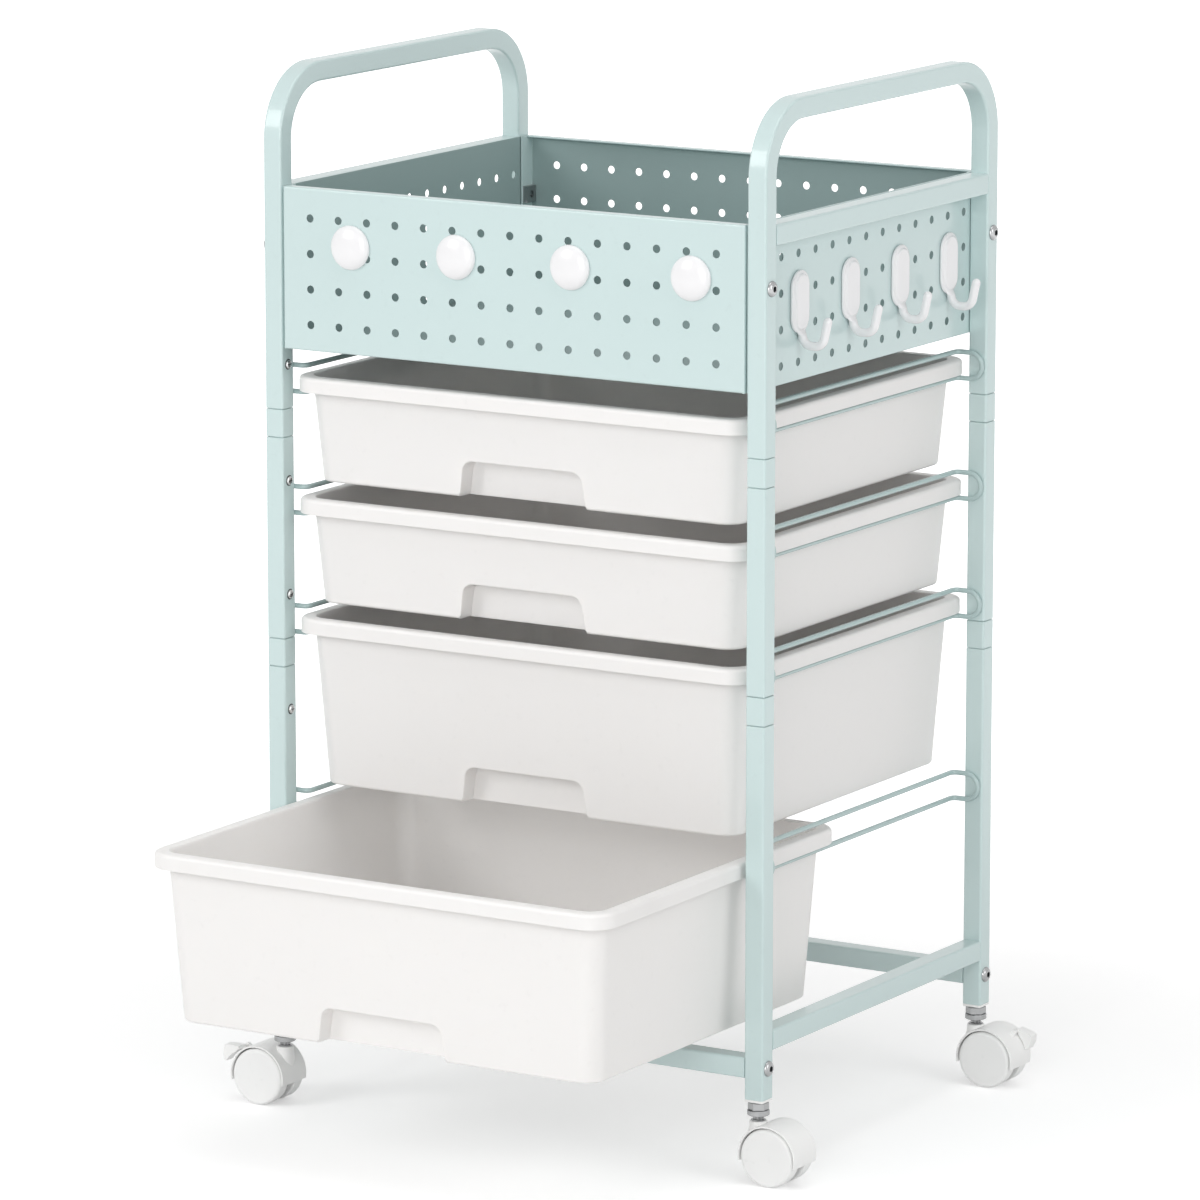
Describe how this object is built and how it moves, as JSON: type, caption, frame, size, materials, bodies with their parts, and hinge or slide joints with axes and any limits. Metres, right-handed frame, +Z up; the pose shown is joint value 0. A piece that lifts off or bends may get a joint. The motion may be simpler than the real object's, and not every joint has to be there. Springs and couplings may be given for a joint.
{
  "type": "rolling storage cart",
  "caption": "Rolling cart with a square-tube frame, a pegboard basket on top, sliding plastic drawers below, side hooks, magnets and swivelling twin-wheel casters.",
  "frame": {"origin": "on the floor, below the middle of the box that holds the whole cart with its bottom drawer pulled out", "axes": "+X to the cart's right as seen from the front, +Y to the back, +Z up"},
  "size_m": [0.516, 0.5606, 0.8085],
  "materials": {
    "mint_powder_coat": "satin powder coat",
    "white_drawer_plastic": "satin moulded polypropylene",
    "white_gloss": "glossy moulded",
    "white_nylon": "satin moulded",
    "zinc": "bright zinc plate"
  },
  "bodies": {
    "frame": {"handle_tube_right": "mint_powder_coat", "handle_tube_left": "mint_powder_coat", "upper_side_rail_right": "mint_powder_coat", "upper_side_rail_left": "mint_powder_coat", "lower_side_rail_right": "mint_powder_coat", "lower_side_rail_left": "mint_powder_coat", "lower_front_rail": "mint_powder_coat", "lower_rear_rail": "mint_powder_coat", "middle_post_front_right": "mint_powder_coat", "lower_post_front_right": "mint_powder_coat", "middle_post_rear_right": "mint_powder_coat", "lower_post_rear_right": "mint_powder_coat", "middle_post_front_left": "mint_powder_coat", "lower_post_front_left": "mint_powder_coat", "middle_post_rear_left": "mint_powder_coat", "lower_post_rear_left": "mint_powder_coat", "tube_connectors": "mint_powder_coat", "connector_screws": "zinc", "frame_bolts": "zinc", "frame_nuts": "zinc", "runner_1_right": "mint_powder_coat", "runner_1_left": "mint_powder_coat", "runner_2_right": "mint_powder_coat", "runner_2_left": "mint_powder_coat", "runner_3_right": "mint_powder_coat", "runner_3_left": "mint_powder_coat", "runner_4_right": "mint_powder_coat", "runner_4_left": "mint_powder_coat", "basket_front_panel": "mint_powder_coat", "basket_rear_panel": "mint_powder_coat", "basket_right_panel": "mint_powder_coat", "basket_left_panel": "mint_powder_coat", "basket_floor": "mint_powder_coat", "side_hook_1": "white_gloss", "side_hook_2": "white_gloss", "side_hook_3": "white_gloss", "side_hook_4": "white_gloss", "dome_magnets": "white_gloss", "post_plugs": "white_nylon", "caster_stems": "zinc", "caster_nuts": "zinc"},
    "top_tray": {"drawer_1": "white_drawer_plastic"},
    "second_tray": {"drawer_2": "white_drawer_plastic"},
    "third_tray": {"drawer_3": "white_drawer_plastic"},
    "bottom_tray": {"drawer_4": "white_drawer_plastic"},
    "caster_front_right": {"caster_hood_front_right": "white_nylon"},
    "front_disc_front_right": {"front_wheel_front_right": "white_nylon"},
    "rear_disc_front_right": {"rear_wheel_front_right": "white_nylon"},
    "caster_rear_right": {"caster_hood_rear_right": "white_nylon"},
    "front_disc_rear_right": {"front_wheel_rear_right": "white_nylon"},
    "rear_disc_rear_right": {"rear_wheel_rear_right": "white_nylon"},
    "brake_rear_right": {"brake_lever_rear_right": "white_nylon"},
    "caster_front_left": {"caster_hood_front_left": "white_nylon"},
    "front_disc_front_left": {"front_wheel_front_left": "white_nylon"},
    "rear_disc_front_left": {"rear_wheel_front_left": "white_nylon"},
    "brake_front_left": {"brake_lever_front_left": "white_nylon"},
    "caster_rear_left": {"caster_hood_rear_left": "white_nylon"},
    "front_disc_rear_left": {"front_wheel_rear_left": "white_nylon"},
    "rear_disc_rear_left": {"rear_wheel_rear_left": "white_nylon"}
  },
  "joints": [
    {"name": "drawer_1_slide", "type": "slide", "parent": "frame", "child": "top_tray", "axis": [0, -1, 0], "range_m": [0, 0.26]},
    {"name": "drawer_2_slide", "type": "slide", "parent": "frame", "child": "second_tray", "axis": [0, -1, 0], "range_m": [0, 0.26]},
    {"name": "drawer_3_slide", "type": "slide", "parent": "frame", "child": "third_tray", "axis": [0, -1, 0], "range_m": [0, 0.26]},
    {"name": "drawer_4_slide", "type": "slide", "parent": "frame", "child": "bottom_tray", "axis": [0, -1, 0], "range_m": [-0.1995, 0.0605]},
    {"name": "caster_swivel_front_right", "type": "hinge", "parent": "frame", "child": "caster_front_right", "pos_m": [0.212, -0.0753, 0.04], "axis": [0, 0, 1], "continuous": true},
    {"name": "front_wheel_spin_front_right", "type": "hinge", "parent": "caster_front_right", "child": "front_disc_front_right", "pos_m": [0.228, -0.0753, 0.02225], "axis": [0, 1, 0], "continuous": true},
    {"name": "rear_wheel_spin_front_right", "type": "hinge", "parent": "caster_front_right", "child": "rear_disc_front_right", "pos_m": [0.228, -0.0753, 0.02225], "axis": [0, 1, 0], "continuous": true},
    {"name": "caster_swivel_rear_right", "type": "hinge", "parent": "frame", "child": "caster_rear_right", "pos_m": [0.212, 0.2637, 0.04], "axis": [0, 0, 1], "continuous": true},
    {"name": "front_wheel_spin_rear_right", "type": "hinge", "parent": "caster_rear_right", "child": "front_disc_rear_right", "pos_m": [0.228, 0.2637, 0.02225], "axis": [0, 1, 0], "continuous": true},
    {"name": "rear_wheel_spin_rear_right", "type": "hinge", "parent": "caster_rear_right", "child": "rear_disc_rear_right", "pos_m": [0.228, 0.2637, 0.02225], "axis": [0, 1, 0], "continuous": true},
    {"name": "brake_rear_right_press", "type": "hinge", "parent": "caster_rear_right", "child": "brake_rear_right", "pos_m": [0.24535, 0.2637, 0.04293], "axis": [0, -1, 0], "range_deg": [0, 18]},
    {"name": "caster_swivel_front_left", "type": "hinge", "parent": "frame", "child": "caster_front_left", "pos_m": [-0.212, -0.0753, 0.04], "axis": [0, 0, 1], "continuous": true},
    {"name": "front_wheel_spin_front_left", "type": "hinge", "parent": "caster_front_left", "child": "front_disc_front_left", "pos_m": [-0.228, -0.0753, 0.02225], "axis": [0, 1, 0], "continuous": true},
    {"name": "rear_wheel_spin_front_left", "type": "hinge", "parent": "caster_front_left", "child": "rear_disc_front_left", "pos_m": [-0.228, -0.0753, 0.02225], "axis": [0, 1, 0], "continuous": true},
    {"name": "brake_front_left_press", "type": "hinge", "parent": "caster_front_left", "child": "brake_front_left", "pos_m": [-0.24535, -0.0753, 0.04293], "axis": [0, -1, 0], "range_deg": [0, 18]},
    {"name": "caster_swivel_rear_left", "type": "hinge", "parent": "frame", "child": "caster_rear_left", "pos_m": [-0.212, 0.2637, 0.04], "axis": [0, 0, 1], "continuous": true},
    {"name": "front_wheel_spin_rear_left", "type": "hinge", "parent": "caster_rear_left", "child": "front_disc_rear_left", "pos_m": [-0.228, 0.2637, 0.02225], "axis": [0, 1, 0], "continuous": true},
    {"name": "rear_wheel_spin_rear_left", "type": "hinge", "parent": "caster_rear_left", "child": "rear_disc_rear_left", "pos_m": [-0.228, 0.2637, 0.02225], "axis": [0, 1, 0], "continuous": true}
  ]
}
